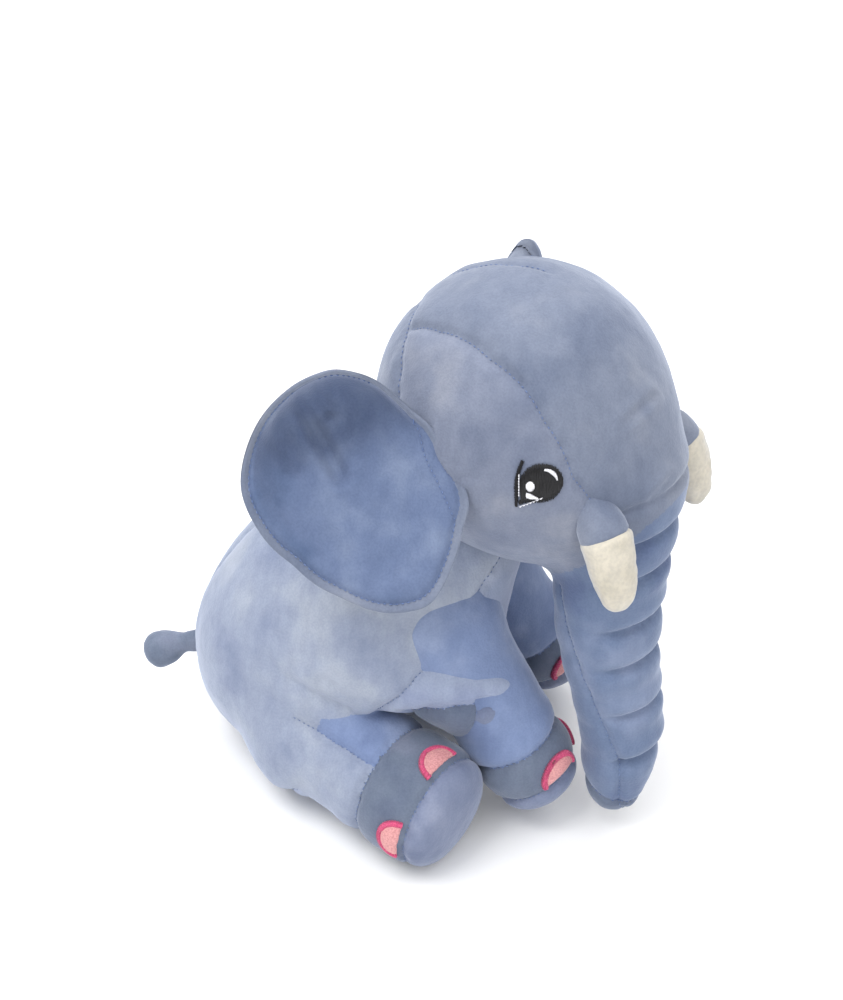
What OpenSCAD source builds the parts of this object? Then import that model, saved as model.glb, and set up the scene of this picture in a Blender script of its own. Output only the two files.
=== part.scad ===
/* [Torso] */
// Greatest radius of the stuffed torso
torso_r = 84; // [80:1:88]
// Half length of the torso along its leaning spine
torso_half = 140; // [136:1:144]
// Lean of the spine forward of upright, in degrees
torso_lean = 38; // [36:1:40]
// How much fuller the rump is than the neck end
torso_taper = 0.17; // [0.14:0.01:0.2]
// How far the belly panel's seams lie in front of the spine
belly_seam = 46; // [40:1:52]

/* [Head] */
// Radius of the head
head_r = 87; // [84:1:90]
// Height of the head's centre above the seat
head_z = 274; // [271:1:277]
// Distance of the head's centre in front of the seat's centre
head_forward = 135; // [132:1:138]
// Turn of the head to its own right, in degrees
head_turn = 20; // [16:1:22]
// Radius of the fullness of cheeks and muzzle
muzzle_r = 60; // [57:1:62]
// Diameter of an embroidered eye
eye_d = 26; // [22:1:30]

/* [Trunk] */
// Radius of the trunk where it leaves the face
trunk_root_r = 36; // [34:1:37]
// Radius of the trunk just above its tip
trunk_end_r = 19; // [17:1:20]
// Height that the trunk spans, from root to tip
trunk_drop = 216; // [205:1:218]
// Sideways lean of the hanging trunk
trunk_lean = 27; // [22:1:30]
// Number of stuffed bulges between the stitched tucks
trunk_bulges = 9; // [8:1:10]

/* [Tusks] */
// Radius of a tusk at its seam
tusk_r = 14.5; // [12:0.5:15]
// Length of a tusk from seam to tip
tusk_len = 45; // [38:1:48]
// Length of the fabric sleeve that holds a tusk
sleeve_len = 23; // [20:1:25]

/* [Ears] */
// Height of an ear, along its root
ear_h = 154; // [144:1:158]
// Reach of an ear away from its root
ear_w = 106; // [98:1:110]
// Thickness of a stuffed ear
ear_t = 12; // [10:1:13]
// Radius of the ear's cupping
ear_cup_r = 170; // [150:5:260]

/* [Front legs] */
// Radius of a front leg at the shoulder
front_root_r = 39; // [36:1:40]
// Radius of a front leg at its cap seam
front_ankle_r = 30; // [28:1:31]
// Radius of a front foot at its sole seam
front_foot_r = 29; // [27:1:30]
// Length of a front leg from shoulder to sole seam
front_len = 129; // [125:1:131]

/* [Hind legs] */
// Radius of a hind leg at the hip
hind_root_r = 43; // [40:1:44]
// Radius of a hind leg at its cap seam
hind_ankle_r = 38; // [35:1:39]
// Radius of a hind foot at its sole seam
hind_foot_r = 39; // [36:1:40]
// Length of a hind leg from hip to sole seam
hind_len = 112; // [108:1:115]

/* [Tail] */
// Length of the tail from root to tip
tail_len = 42; // [35:1:50]
// Radius of the tail's thin part
tail_r = 8; // [6:0.5:9]

/* [Cloth] */
// Thickness of the plush cloth
cloth = 2; // [1.5:0.1:2.5]
// Width of one toe nail patch
nail_w = 28; // [24:1:30]

/* [Hidden] */

$fn = 72;
big = 600;                 // larger than the toy, for cutting blocks
joint_gap = 0.8;           // clearance between bodies that move on each other
lift_gap = 1.8;            // clearance in the head round the places of the lifted trunk
layer_gap = 0.3;           // clearance between a cloth panel and its filling
patch = 1.2;               // how far a sewn or embroidered patch stands proud
arc_step = 9;              // degrees between the points of a turned outline

// Cloth colours
blue = "lightsteelblue";
blue_shade = "cornflowerblue";
cream = "ivory";
pink = "lightpink";
wadding = "white";

// Seat and spine
torso_base_z = 74;         // height of the spine's lower reference point
torso_mid = 60;            // distance along the spine to the torso's fullest half

// Cheek seams: planes turned away from the middle of the face
cheek_seam_x = 53;
cheek_seam_turn = 15;
back_seam_y = 52;          // seam between the crown and the back of the head
muzzle_pos = [0, -34, -24];
eye_pos = [-70, -51, 5];

// Trunk, in the head's frame
trunk_root = [-3, -68, -27];
trunk_step_out = 23;       // how far the lower trunk stands in front of its root
trunk_lifts = [0, 9, 18, 27, 35];   // places of the trunk that its socket clears
seam_shift = 6;            // the side seams start just behind the trunk's middle
seam_lean = -7;            // and lean forwards as the trunk does

// Tusks, in the head's frame
sleeve_root = [-51, -66, -11];
tusk_seam = [-56.5, -81, -31];
tusk_aim = [-60, -94, -74];

// Ears, in the head's frame
ear_root_top = [-75, 34, 26];
ear_root_foot = [-85, -4, -22];
ear_flare = 34;            // turn of the ear away from the head's side
ear_centre_down = 22;      // ear's middle, down along its root
ear_centre_out = 42;       // ear's middle, out from its root
ear_range = [-4, 30];

// Legs: place of the ball that the leg turns on, its turn outwards, its tilt
// from upright, and the roll that brings its toes round
shoulder = [-44, -95, 140];
front_yaw = 13.6;
front_tilt = 148;
front_roll = -20;
front_cap = 33;
front_range = [0, 10];
hip = [-56, -9.5, 50];
hind_yaw = 28;
hind_tilt = 96;
hind_roll = 42;
hind_cap = 43;
hind_range = [0, 22];
neck_in = 4;               // how far a leg's shaft starts inside its ball
sole_bulge = 7;            // how far a stuffed sole swells beyond its seam
sole_round = 9;            // rounding of a foot towards its sole
nail_angle = 44;           // turn of each nail from the middle of the toes

tail_root = [0, 80, 64];
tail_tilt = -108;          // tail points backwards and a little down
tail_tuft_r = 12;

// ---------- places ----------

// The head's frame: origin at the middle of the head, -Y towards its face
module in_head() {
    translate([0, -head_forward, head_z]) rotate([0, 0, -head_turn]) children();
}

// Both sides of the toy
module sided(side) {
    if (side == "right") children();
    else mirror([1, 0, 0]) children();
}

// Turns +Z to point from one place towards another
module aimed(from, to) {
    run = to - from;
    translate(from)
        rotate([0, acos(run[2] / norm(run)), atan2(run[1], run[0])]) children();
}

// Half space on the positive side of a plane through the origin with normal +X
module beyond() {
    translate([0, -big / 2, -big / 2]) cube(big);
}

// ---------- torso ----------

function torso_outline(inset) = [
    for (t = [0 : arc_step : 180])
        [(torso_r - inset) * sin(t) * (1 + torso_taper * cos(t)),
         torso_mid - (torso_half - inset) * cos(t)]
];

module on_spine() {
    translate([0, 0, torso_base_z]) rotate([torso_lean, 0, 0]) children();
}

module above_floor(height) {
    translate([-big / 2, -big / 2, height]) cube(big);
}

module torso_form(inset) {
    intersection() {
        on_spine() rotate_extrude() polygon(torso_outline(inset));
        above_floor(inset);
    }
}

// Room for every body that turns in the torso
module torso_sockets() {
    in_head() sphere(head_r + joint_gap);
    for (side = ["right", "left"]) sided(side) {
        leg_room(shoulder, front_yaw, front_tilt, front_range, front_spin(), front_root_r,
                 front_ankle_r, front_len - front_cap);
        leg_room(hip, hind_yaw, hind_tilt, hind_range, hind_spin(), hind_root_r,
                 hind_ankle_r, hind_len - hind_cap);
    }
    translate(tail_root) sphere(tail_r + joint_gap);
}

module torso_shell() {
    difference() {
        torso_form(0);
        torso_form(cloth);
        torso_sockets();
    }
}

module belly_side() {
    on_spine() rotate([0, 0, -90]) translate([belly_seam, 0, 0]) beyond();
}

module torso_back_panel() {
    color(blue) difference() {
        torso_shell();
        belly_side();
    }
}

module belly_panel() {
    color(blue_shade) intersection() {
        torso_shell();
        belly_side();
    }
}

module torso_filling() {
    color(wadding) difference() {
        torso_form(cloth + layer_gap);
        torso_sockets();
    }
}

// ---------- head ----------

module head_form(inset) {
    sphere(head_r - inset);
    translate(muzzle_pos) sphere(muzzle_r - inset);
}

// The uppermost bulges of the trunk, with room to lift
module trunk_socket() {
    translate(trunk_root) sphere(trunk_root_r + joint_gap);
    for (lift = trunk_lifts, i = [1 : 3])
        translate(trunk_root) rotate([-lift, 0, 0]) translate(trunk_point(i) - trunk_root)
            sphere(trunk_radius(i) + lift_gap);
}

module head_shell() {
    difference() {
        head_form(0);
        head_form(cloth);
        trunk_socket();
    }
}

module cheek_side() {
    translate([-cheek_seam_x, 0, 0]) rotate([0, 0, 180 + cheek_seam_turn]) beyond();
}

module behind_back_seam() {
    translate([0, back_seam_y, 0]) rotate([0, 0, 90]) beyond();
}

module head_crown_panel() {
    color(blue) in_head() difference() {
        head_shell();
        cheek_side();
        mirror([1, 0, 0]) cheek_side();
        behind_back_seam();
    }
}

module head_back_panel() {
    color(blue) in_head() intersection() {
        head_shell();
        behind_back_seam();
    }
}

module cheek_panel(side) {
    color(blue_shade) in_head() difference() {
        intersection() {
            head_shell();
            sided(side) cheek_side();
        }
        behind_back_seam();
    }
}

module head_filling() {
    color(wadding) in_head() difference() {
        head_form(cloth + layer_gap);
        trunk_socket();
    }
}

// A thin disc of stitching that follows the head's surface
module on_face(place, width, low, high) {
    intersection() {
        difference() {
            sphere(head_r + high);
            sphere(head_r + low);
        }
        aimed([0, 0, 0], place) cylinder(d = width, h = 2 * head_r);
    }
}

module eye_patch(side) {
    color("black") in_head() sided(side) on_face(eye_pos, eye_d, 0, patch);
}

module eye_glints(side) {
    glint_up = [-2, -2, 6];
    glint_down = [1, 2, -5];
    color("white") in_head() sided(side) {
        on_face(eye_pos + glint_up, eye_d / 4, patch, patch + 0.6);
        on_face(eye_pos + glint_down, eye_d / 6, patch, patch + 0.6);
    }
}

// ---------- tusks ----------

module tusk_sleeve(side) {
    color(blue) in_head() sided(side) difference() {
        aimed(sleeve_root, tusk_seam) cylinder(r1 = tusk_r - 1, r2 = tusk_r, h = sleeve_len);
        head_form(0);
        trunk_sweep();
    }
}

function tusk_outline() = concat(
    [[0, 0], [tusk_r, 0], [tusk_r * 0.92, tusk_len * 0.35], [tusk_r * 0.8, tusk_len * 0.65]],
    [for (a = [0 : 15 : 90])
        [tusk_r * 0.8 * pow(cos(a), 0.7), tusk_len * (0.72 + 0.28 * sin(a))]]
);

module tusk(side) {
    seam = sleeve_root + (tusk_seam - sleeve_root) * sleeve_len / norm(tusk_seam - sleeve_root);
    color(cream) in_head() sided(side) difference() {
        aimed(seam, tusk_aim) rotate_extrude() polygon(tusk_outline());
        aimed(sleeve_root, tusk_seam) cylinder(r = tusk_r + 4, h = sleeve_len);
    }
}

// ---------- trunk ----------

// Stations down the trunk, as a share of its length
function share(i) = i / trunk_bulges;
function ease(t) = t * t * (3 - 2 * t);
function trunk_point(i) = trunk_root + [
    -trunk_lean * share(i),
    -trunk_step_out * ease(min(1, max(0, (share(i) - 0.3) / 0.5))),
    -trunk_drop * share(i)
];
function trunk_radius(i) = trunk_root_r
    - (trunk_root_r - trunk_end_r) * pow(share(i), 1.6);

module trunk_form(inset) {
    for (i = [0 : trunk_bulges])
        translate(trunk_point(i)) sphere(trunk_radius(i) - inset);
}

// Everything the trunk needs clear beside the tusks
module trunk_sweep() {
    for (i = [0 : 2])
        translate(trunk_point(i)) sphere(trunk_radius(i) + joint_gap);
}

module trunk_shell() {
    difference() {
        trunk_form(0);
        trunk_form(cloth);
    }
}

// The half of the trunk in front of its side seams (-1), or behind them (1)
module trunk_side(way) {
    translate(trunk_root + [-big / 2, seam_shift, 0]) rotate([seam_lean, 0, 0])
        translate([0, (way - 1) * big / 2, -big / 2]) cube(big);
}

module trunk_tip_zone() {
    translate(trunk_point(trunk_bulges) + [-big / 2, -big / 2, -big - 2]) cube(big);
}

module trunk_front_panel() {
    color(blue) in_head() difference() {
        intersection() {
            trunk_shell();
            trunk_side(-1);
        }
        trunk_tip_zone();
    }
}

module trunk_back_panel() {
    color(blue_shade) in_head() difference() {
        intersection() {
            trunk_shell();
            trunk_side(1);
        }
        trunk_tip_zone();
    }
}

module trunk_tip_cap() {
    color(blue) in_head() intersection() {
        trunk_shell();
        trunk_tip_zone();
    }
}

module trunk_filling() {
    color(wadding) in_head() trunk_form(cloth + layer_gap);
}

// ---------- ears ----------

// The ear's frame: origin at the top of its root, +X down the root, +Y out
// along the ear, +Z out of its back, the face turned to the body
module in_ear() {
    root_run = ear_root_foot - ear_root_top;
    down = root_run / norm(root_run);
    flare = [-sin(ear_flare), cos(ear_flare), 0];
    outward = flare - down * (flare * down);
    out = outward / norm(outward);
    face = cross(down, out);
    multmatrix([[down[0], out[0], face[0], ear_root_top[0]],
                [down[1], out[1], face[1], ear_root_top[1]],
                [down[2], out[2], face[2], ear_root_top[2]]]) children();
}

module ear_outline() {
    polygon([for (a = [0 : 6 : 354])
        [ear_centre_down + ear_h / 2 * cos(a),
         max(2, ear_centre_out + (ear_w - ear_centre_out) * sin(a))]]);
}

// The head as the ear meets it, over the ear's whole travel
module ear_room() {
    root_run = ear_root_foot - ear_root_top;
    for (t = [ear_range[0] : (ear_range[1] - ear_range[0]) / 4 : ear_range[1]])
        translate(ear_root_top) rotate(a = t, v = root_run) translate(-ear_root_top)
            sphere(head_r + joint_gap);
}

// One cupped layer of the ear, between two depths measured from its back
module ear_layer(low, high) {
    difference() {
        intersection() {
            in_ear() linear_extrude(height = 4 * ear_t, center = true) ear_outline();
            in_ear() translate([ear_centre_down, ear_centre_out, ear_t / 2 - ear_cup_r])
                difference() {
                    sphere(ear_cup_r - low);
                    sphere(ear_cup_r - high);
                }
        }
        ear_room();
    }
}

module ear_front(side) {
    color(blue_shade) in_head() sided(side) ear_layer(ear_t - cloth, ear_t);
}

module ear_batting(side) {
    color(wadding) in_head() sided(side)
        ear_layer(cloth + layer_gap, ear_t - cloth - layer_gap);
}

module ear_back(side) {
    color(blue) in_head() sided(side) ear_layer(0, cloth);
}

// ---------- tail ----------

module in_tail() {
    translate(tail_root) rotate([tail_tilt, 0, 0]) children();
}

module tail_tube() {
    color(blue) in_tail() {
        sphere(tail_r);
        cylinder(r = tail_r - 0.5, h = tail_len - 2 * tail_tuft_r + 4);
    }
}

module tail_tuft() {
    color(blue_shade) in_tail() difference() {
        translate([0, 0, tail_len - tail_tuft_r]) sphere(tail_tuft_r);
        cylinder(r = tail_r - 0.5, h = tail_len - 2 * tail_tuft_r + 4);
    }
}

// ---------- legs ----------

// The leg's frame: origin at its root ball, +Z along it, +Y over its toes
module in_leg(place, yaw, tilt, roll = 0) {
    translate(place) rotate([0, 0, -yaw]) rotate([tilt, 0, 0]) rotate([0, 0, roll])
        children();
}

// Axis that the leg turns about, in the toy's frame
function front_spin() = [0, cos(front_tilt), sin(front_tilt)];
function hind_spin() = [0, 0, -1];

// Half outline of a leg without its ball, from the root to the sole
function leg_side(len, root_r, ankle_r, foot_r, cap, inset) = concat(
    [[root_r - inset - neck_in, 0], [ankle_r - inset, len - cap], [foot_r - inset, len - sole_round]],
    [for (a = [15 : 15 : 90])
        [(foot_r - inset) * pow(cos(a), 0.6),
         len - sole_round + (sole_round + sole_bulge - inset) * sin(a)]]
);

module leg_shaft(len, root_r, ankle_r, foot_r, cap, inset) {
    rotate_extrude() polygon(concat([[0, 0]],
        leg_side(len, root_r, ankle_r, foot_r, cap, inset)));
}

module leg_form(len, root_r, ankle_r, foot_r, cap, inset) {
    sphere(root_r - inset);
    leg_shaft(len, root_r, ankle_r, foot_r, cap, inset);
}

// The space that a leg sweeps through in the torso
module leg_room(place, yaw, tilt, range, spin, root_r, ankle_r, len) {
    translate(place) sphere(root_r + joint_gap);
    for (t = range)
        translate(place) rotate(a = t, v = spin) translate(-place) in_leg(place, yaw, tilt)
            cylinder(r1 = root_r + joint_gap - neck_in, r2 = ankle_r + joint_gap, h = len);
}

module leg_shell(len, root_r, ankle_r, foot_r, cap) {
    difference() {
        leg_form(len, root_r, ankle_r, foot_r, cap, 0);
        leg_form(len, root_r, ankle_r, foot_r, cap, cloth);
    }
}

module slice(low, high) {
    translate([-big / 2, -big / 2, low]) cube([big, big, high - low]);
}

module leg_skin(len, root_r, ankle_r, foot_r, cap) {
    intersection() {
        leg_shell(len, root_r, ankle_r, foot_r, cap);
        slice(-big / 2, len - cap);
    }
}

module foot_cap(len, root_r, ankle_r, foot_r, cap) {
    intersection() {
        leg_shell(len, root_r, ankle_r, foot_r, cap);
        slice(len - cap, len);
    }
}

module sole(len, root_r, ankle_r, foot_r, cap) {
    intersection() {
        leg_shell(len, root_r, ankle_r, foot_r, cap);
        slice(len, big / 2);
    }
}

// Two half-moon nails with their straight edges where the foot rounds to its sole
module nails(len, foot_r) {
    edge = len - sole_round;
    for (turn = [-nail_angle, nail_angle]) intersection() {
        difference() {
            slice_of_cylinder(foot_r + 2 * patch, edge - nail_w / 2, edge);
            slice_of_cylinder(foot_r + patch, edge - nail_w, edge + nail_w);
        }
        rotate([0, 0, turn]) translate([0, foot_r / 2, edge]) rotate([-90, 0, 0])
            cylinder(d = nail_w, h = foot_r);
    }
}

module slice_of_cylinder(radius, low, high) {
    translate([0, 0, low]) cylinder(r = radius, h = high - low);
}

module front_leg_part(side, part) {
    sided(side) in_leg(shoulder, front_yaw, front_tilt, front_roll)
        leg_part(part, front_len, front_root_r, front_ankle_r, front_foot_r, front_cap);
}

module hind_leg_part(side, part) {
    sided(side) in_leg(hip, hind_yaw, hind_tilt, hind_roll)
        leg_part(part, hind_len, hind_root_r, hind_ankle_r, hind_foot_r, hind_cap);
}

module leg_part(part, len, root_r, ankle_r, foot_r, cap) {
    if (part == "skin") color(blue) leg_skin(len, root_r, ankle_r, foot_r, cap);
    if (part == "cap") color(blue_shade) foot_cap(len, root_r, ankle_r, foot_r, cap);
    if (part == "sole") color(blue) sole(len, root_r, ankle_r, foot_r, cap);
    if (part == "nails") color(pink) nails(len, foot_r);
    if (part == "filling")
        color(wadding) leg_form(len, root_r, ankle_r, foot_r, cap, cloth + layer_gap);
}

// ---------- nodes ----------

torso_back_panel();
belly_panel();
torso_filling();
head_crown_panel();
head_back_panel();
head_filling();
trunk_front_panel();
trunk_back_panel();
trunk_tip_cap();
trunk_filling();
tail_tube();
tail_tuft();
for (side = ["right", "left"]) {
    cheek_panel(side);
    eye_patch(side);
    eye_glints(side);
    tusk_sleeve(side);
    tusk(side);
    ear_front(side);
    ear_batting(side);
    ear_back(side);
    front_leg_part(side, "skin");
    front_leg_part(side, "cap");
    front_leg_part(side, "sole");
    front_leg_part(side, "nails");
    front_leg_part(side, "filling");
    hind_leg_part(side, "skin");
    hind_leg_part(side, "cap");
    hind_leg_part(side, "sole");
    hind_leg_part(side, "nails");
    hind_leg_part(side, "filling");
}
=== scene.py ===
"""Looks of a seated plush elephant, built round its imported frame.

Working units are millimetres in the toy's own frame; meshes are made in metres.
"""

import math

import bpy
import numpy as np
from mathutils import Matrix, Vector
from mathutils.bvhtree import BVHTree
from mathutils.kdtree import KDTree


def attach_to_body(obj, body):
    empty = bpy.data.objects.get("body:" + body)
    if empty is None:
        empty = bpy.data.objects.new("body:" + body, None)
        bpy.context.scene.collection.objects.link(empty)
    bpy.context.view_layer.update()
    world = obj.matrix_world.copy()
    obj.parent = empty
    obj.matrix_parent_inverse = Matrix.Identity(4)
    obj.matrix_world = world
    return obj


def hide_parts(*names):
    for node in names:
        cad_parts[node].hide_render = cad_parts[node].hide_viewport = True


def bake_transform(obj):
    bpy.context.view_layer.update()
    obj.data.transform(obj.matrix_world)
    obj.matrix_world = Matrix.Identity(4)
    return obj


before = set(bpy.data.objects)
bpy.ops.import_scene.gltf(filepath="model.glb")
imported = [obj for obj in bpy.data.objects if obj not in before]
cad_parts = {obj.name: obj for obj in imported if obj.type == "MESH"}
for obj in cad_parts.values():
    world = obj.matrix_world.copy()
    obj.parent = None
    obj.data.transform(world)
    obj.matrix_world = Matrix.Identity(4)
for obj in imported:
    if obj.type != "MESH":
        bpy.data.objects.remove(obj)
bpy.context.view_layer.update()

MM = 0.001
SIDES = ("right", "left")
MIRROR = np.array([-1.0, 1.0, 1.0])

# ---------- sizes, in millimetres, as the CAD has them ----------

HEAD_AT = np.array([0.0, -135.0, 274.0])
HEAD_TURN = math.radians(-20)
HEAD_R = 87.0
MUZZLE_AT = np.array([0.0, -34.0, -24.0])
MUZZLE_R = 60.0
EAR_TOP = np.array([-75.0, 34.0, 26.0])
EAR_FOOT = np.array([-85.0, -4.0, -22.0])
EAR_FLARE = math.radians(34)
EYE_AT = np.array([-73.0, -47.0, 5.0])
SPINE_AT = np.array([0.0, 0.0, 74.0])
SPINE = np.array([0.0, -math.sin(math.radians(38)), math.cos(math.radians(38))])
FRONT_LEG = dict(place=(-44, -95, 140), yaw=13.6, tilt=148, roll=-20, length=129,
                 root=39, ankle=30, foot=29, cap=33)
HIND_LEG = dict(place=(-56, -9.5, 50), yaw=28, tilt=96, roll=42, length=112,
                root=43, ankle=38, foot=39, cap=43)
SOLE_ROUND = 9.0
SOLE_BULGE = 10.0
SOLE_EDGE = 5.0
STITCH_PITCH = 3.3


# ---------- small maths ----------

def unit(v):
    v = np.asarray(v, float)
    return v / np.linalg.norm(v)


def smooth(x, low, high):
    t = np.clip((x - low) / (high - low), 0, 1)
    return t * t * (3 - 2 * t)


def turn_x(a):
    c, s = math.cos(a), math.sin(a)
    return np.array([[1, 0, 0], [0, c, -s], [0, s, c]])


def turn_z(a):
    c, s = math.cos(a), math.sin(a)
    return np.array([[c, -s, 0], [s, c, 0], [0, 0, 1]])


HEAD_TURNED = turn_z(HEAD_TURN)


def from_head(p):
    return np.asarray(p, float) @ HEAD_TURNED.T + HEAD_AT


def leg_turned(leg):
    return (turn_z(-math.radians(leg["yaw"])) @ turn_x(math.radians(leg["tilt"]))
            @ turn_z(math.radians(leg["roll"])))


def to_leg(p, leg):
    return (p - np.array(leg["place"], float)) @ leg_turned(leg)


def from_leg(p, leg):
    return np.asarray(p, float) @ leg_turned(leg).T + np.array(leg["place"], float)


def lattice(i, j, k, seed):
    """A fixed value from -1 to 1 at each point of a lattice."""
    n = (i * 374761393 + j * 668265263 + k * 2147483647 + seed * 1274126177) & 0xFFFFFFFF
    n = ((n ^ (n >> 13)) * 1103515245) & 0xFFFFFFFF
    return ((n ^ (n >> 16)) & 0xFFFF) / 32767.5 - 1


def noise(p, size, seed=0):
    """Smooth noise from -1 to 1 whose lumps are size millimetres across."""
    q = np.asarray(p, float) / size + 1000
    base = np.floor(q).astype(np.int64)
    t = q - base
    t = t * t * (3 - 2 * t)
    total = np.zeros(len(q))
    for di in (0, 1):
        for dj in (0, 1):
            for dk in (0, 1):
                w = (np.where(di, t[:, 0], 1 - t[:, 0]) * np.where(dj, t[:, 1], 1 - t[:, 1])
                     * np.where(dk, t[:, 2], 1 - t[:, 2]))
                total += w * lattice(base[:, 0] + di, base[:, 1] + dj, base[:, 2] + dk, seed)
    return total


def path_distance(p, path):
    """Distance from points to a line through path's points."""
    best = np.full(len(p), 1e9)
    for a, b in zip(path[:-1], path[1:]):
        a, d = np.array(a, float), np.array(b, float) - np.array(a, float)
        t = np.clip(((p - a) @ d) / (d @ d), 0, 1)
        best = np.minimum(best, np.linalg.norm(p - a - t[:, None] * d, axis=1))
    return best


# ---------- distance fields ----------

def ball(p, centre, radius):
    return np.linalg.norm(p - centre, axis=1) - radius


def blended(a, b, width):
    """Union of two fields with a soft fillet."""
    h = np.clip(0.5 + 0.5 * (b - a) / width, 0, 1)
    return b * (1 - h) + a * h - width * h * (1 - h)


def round_cone(p, a, b, ra, rb):
    run = b - a
    length2 = run @ run
    dr = ra - rb
    a2 = length2 - dr * dr
    pa = p - a
    y = pa @ run
    z = y - length2
    x2 = ((pa * length2 - y[:, None] * run) ** 2).sum(1)
    y2, z2 = y * y * length2, z * z * length2
    k = np.sign(dr) * dr * dr * x2
    out = (np.sqrt(x2 * a2 / length2) + y * dr) / length2 - ra
    out = np.where(np.sign(y) * a2 * y2 < k, np.sqrt(x2 + y2) / length2 - ra, out)
    return np.where(np.sign(z) * a2 * z2 > k, np.sqrt(x2 + z2) / length2 - rb, out)


class Turned:
    """Distance to a solid of revolution, looked up in a table of its outline."""

    def __init__(self, outline, margin=60.0, step=1.0):
        line = np.array(outline, float)
        self.low = np.array([0.0, line[:, 1].min() - margin])
        high = np.array([line[:, 0].max() + margin, line[:, 1].max() + margin])
        self.step = step
        nr, nz = np.ceil((high - self.low) / step).astype(int) + 1
        r, z = np.meshgrid(np.arange(nr) * step, self.low[1] + np.arange(nz) * step, indexing="ij")
        grid = np.stack([r.ravel(), z.ravel()], 1)
        best = np.full(len(grid), 1e9)
        inside = np.zeros(len(grid), bool)
        for a, b in zip(line[:-1], line[1:]):
            d = b - a
            t = np.clip(((grid - a) @ d) / max(d @ d, 1e-9), 0, 1)
            best = np.minimum(best, np.linalg.norm(grid - a - t[:, None] * d, axis=1))
            if a[1] != b[1]:
                spans = (grid[:, 1] - a[1]) * (grid[:, 1] - b[1]) <= 0
                at = a[0] + (grid[:, 1] - a[1]) / (b[1] - a[1]) * d[0]
                inside |= spans & (grid[:, 0] < at)
        self.table = np.where(inside, -best, best).reshape(nr, nz)

    def __call__(self, radial, along):
        u = np.clip(radial / self.step, 0, self.table.shape[0] - 1.001)
        v = np.clip((along - self.low[1]) / self.step, 0, self.table.shape[1] - 1.001)
        i, j = u.astype(int), v.astype(int)
        u, v = u - i, v - j
        t = self.table
        return ((t[i, j] * (1 - u) + t[i + 1, j] * u) * (1 - v)
                + (t[i, j + 1] * (1 - u) + t[i + 1, j + 1] * u) * v)


def torso_outline():
    angles = np.radians(np.arange(0, 181, 4))
    return [(84 * math.sin(t) * (1 + 0.17 * math.cos(t)), 60 - 140 * math.cos(t)) for t in angles]


def leg_outline(leg):
    length, foot = leg["length"], leg["foot"]
    points = [(leg["root"] - 4, 0), (leg["ankle"], length - leg["cap"]), (foot, length - SOLE_ROUND)]
    for a in np.radians(np.arange(10, 91, 10)):
        points.append((foot * max(math.cos(a), 0) ** 0.6,
                       length - SOLE_ROUND + (SOLE_ROUND + SOLE_BULGE) * math.sin(a)))
    return points


TORSO_TURNED = Turned(torso_outline())


def torso_egg(p):
    q = p - SPINE_AT
    along = q @ SPINE
    radial = np.sqrt(np.maximum((q * q).sum(1) - along * along, 0))
    return TORSO_TURNED(radial, along)


UNDERCUT = (np.array([-125.0, -86.0, 66.0]), np.array([70.0, -86.0, 40.0]), 46.0)


def torso_field(p):
    """The torso, hollowed between its front and hind legs."""
    a, b, r = UNDERCUT
    q = p.copy()
    q[:, 0] = -np.abs(p[:, 0])
    return -blended(-torso_egg(p), round_cone(q, a, b, r, r - 0.5), 16)


class LegField:
    def __init__(self, leg):
        self.leg = leg
        self.turned = Turned(leg_outline(leg))

    def __call__(self, p):
        q = to_leg(p, self.leg)
        shaft = self.turned(np.hypot(q[:, 0], q[:, 1]), q[:, 2])
        return blended(shaft, np.linalg.norm(q, axis=1) - self.leg["root"], 6)


hind_field = LegField(HIND_LEG)
front_field = LegField(FRONT_LEG)


def on_floor(f, p, lift=0.4):
    """Flattens a field softly where it rests on the floor."""
    return -blended(-f, p[:, 2] - lift, 5)


SHOULDER_FROM = np.array([-30.0, -72.0, 156.0])
SHOULDER_TO = np.array([-49.0, -116.0, 102.0])
ARMPIT_FROM = np.array([-52.0, -58.0, 130.0])
ARMPIT_TO = np.array([-58.0, -112.0, 100.0])


def body_field(p):
    """Torso with both thighs and hind feet running out of it, swelling at the shoulders."""
    side = p.copy()
    side[:, 0] = -np.abs(p[:, 0])
    shoulder = round_cone(side, SHOULDER_FROM, SHOULDER_TO, 40.0, 28.0)
    shoulder = blended(shoulder, round_cone(side, ARMPIT_FROM, ARMPIT_TO, 33.0, 28.0), 12)
    trunk = blended(torso_field(p), shoulder, 26)
    return on_floor(blended(trunk, hind_field(side), 14), p)


def front_leg_field(p):
    return on_floor(front_field(p), p)


TRUNK_Z = [-27, -51, -75, -98, -122, -147, -172, -195, -220, -240]
TRUNK_X = [-3, -7, -10.5, -14, -17, -19, -20, -22, -25.5, -29.5]
TRUNK_Y = [-67.5, -67.5, -68, -69, -72, -76, -83, -88, -90, -90.5]
TRUNK_R = [36, 35, 34, 32.5, 31, 29, 27, 25, 22, 18]
TUCKS = [-17, -47, -72, -106, -134, -168, -204]


def head_field(p):
    """Head, muzzle and trunk as one stuffed form, in the head's frame."""
    f = blended(ball(p, np.zeros(3), HEAD_R), ball(p, MUZZLE_AT, MUZZLE_R), 30)
    trunk = None
    for i in range(len(TRUNK_Z) - 1):
        a = np.array([TRUNK_X[i], TRUNK_Y[i], TRUNK_Z[i]], float)
        b = np.array([TRUNK_X[i + 1], TRUNK_Y[i + 1], TRUNK_Z[i + 1]], float)
        part = round_cone(p, a, b, TRUNK_R[i], TRUNK_R[i + 1])
        trunk = part if trunk is None else blended(trunk, part, 4)
    return blended(f, trunk, 16)


# ---------- surfaces ----------

def gradient(f, p, eps=0.4):
    g = np.empty_like(p)
    for k in range(3):
        step = np.zeros(3)
        step[k] = eps
        g[:, k] = (f(p + step) - f(p - step)) / (2 * eps)
    return g


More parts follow.
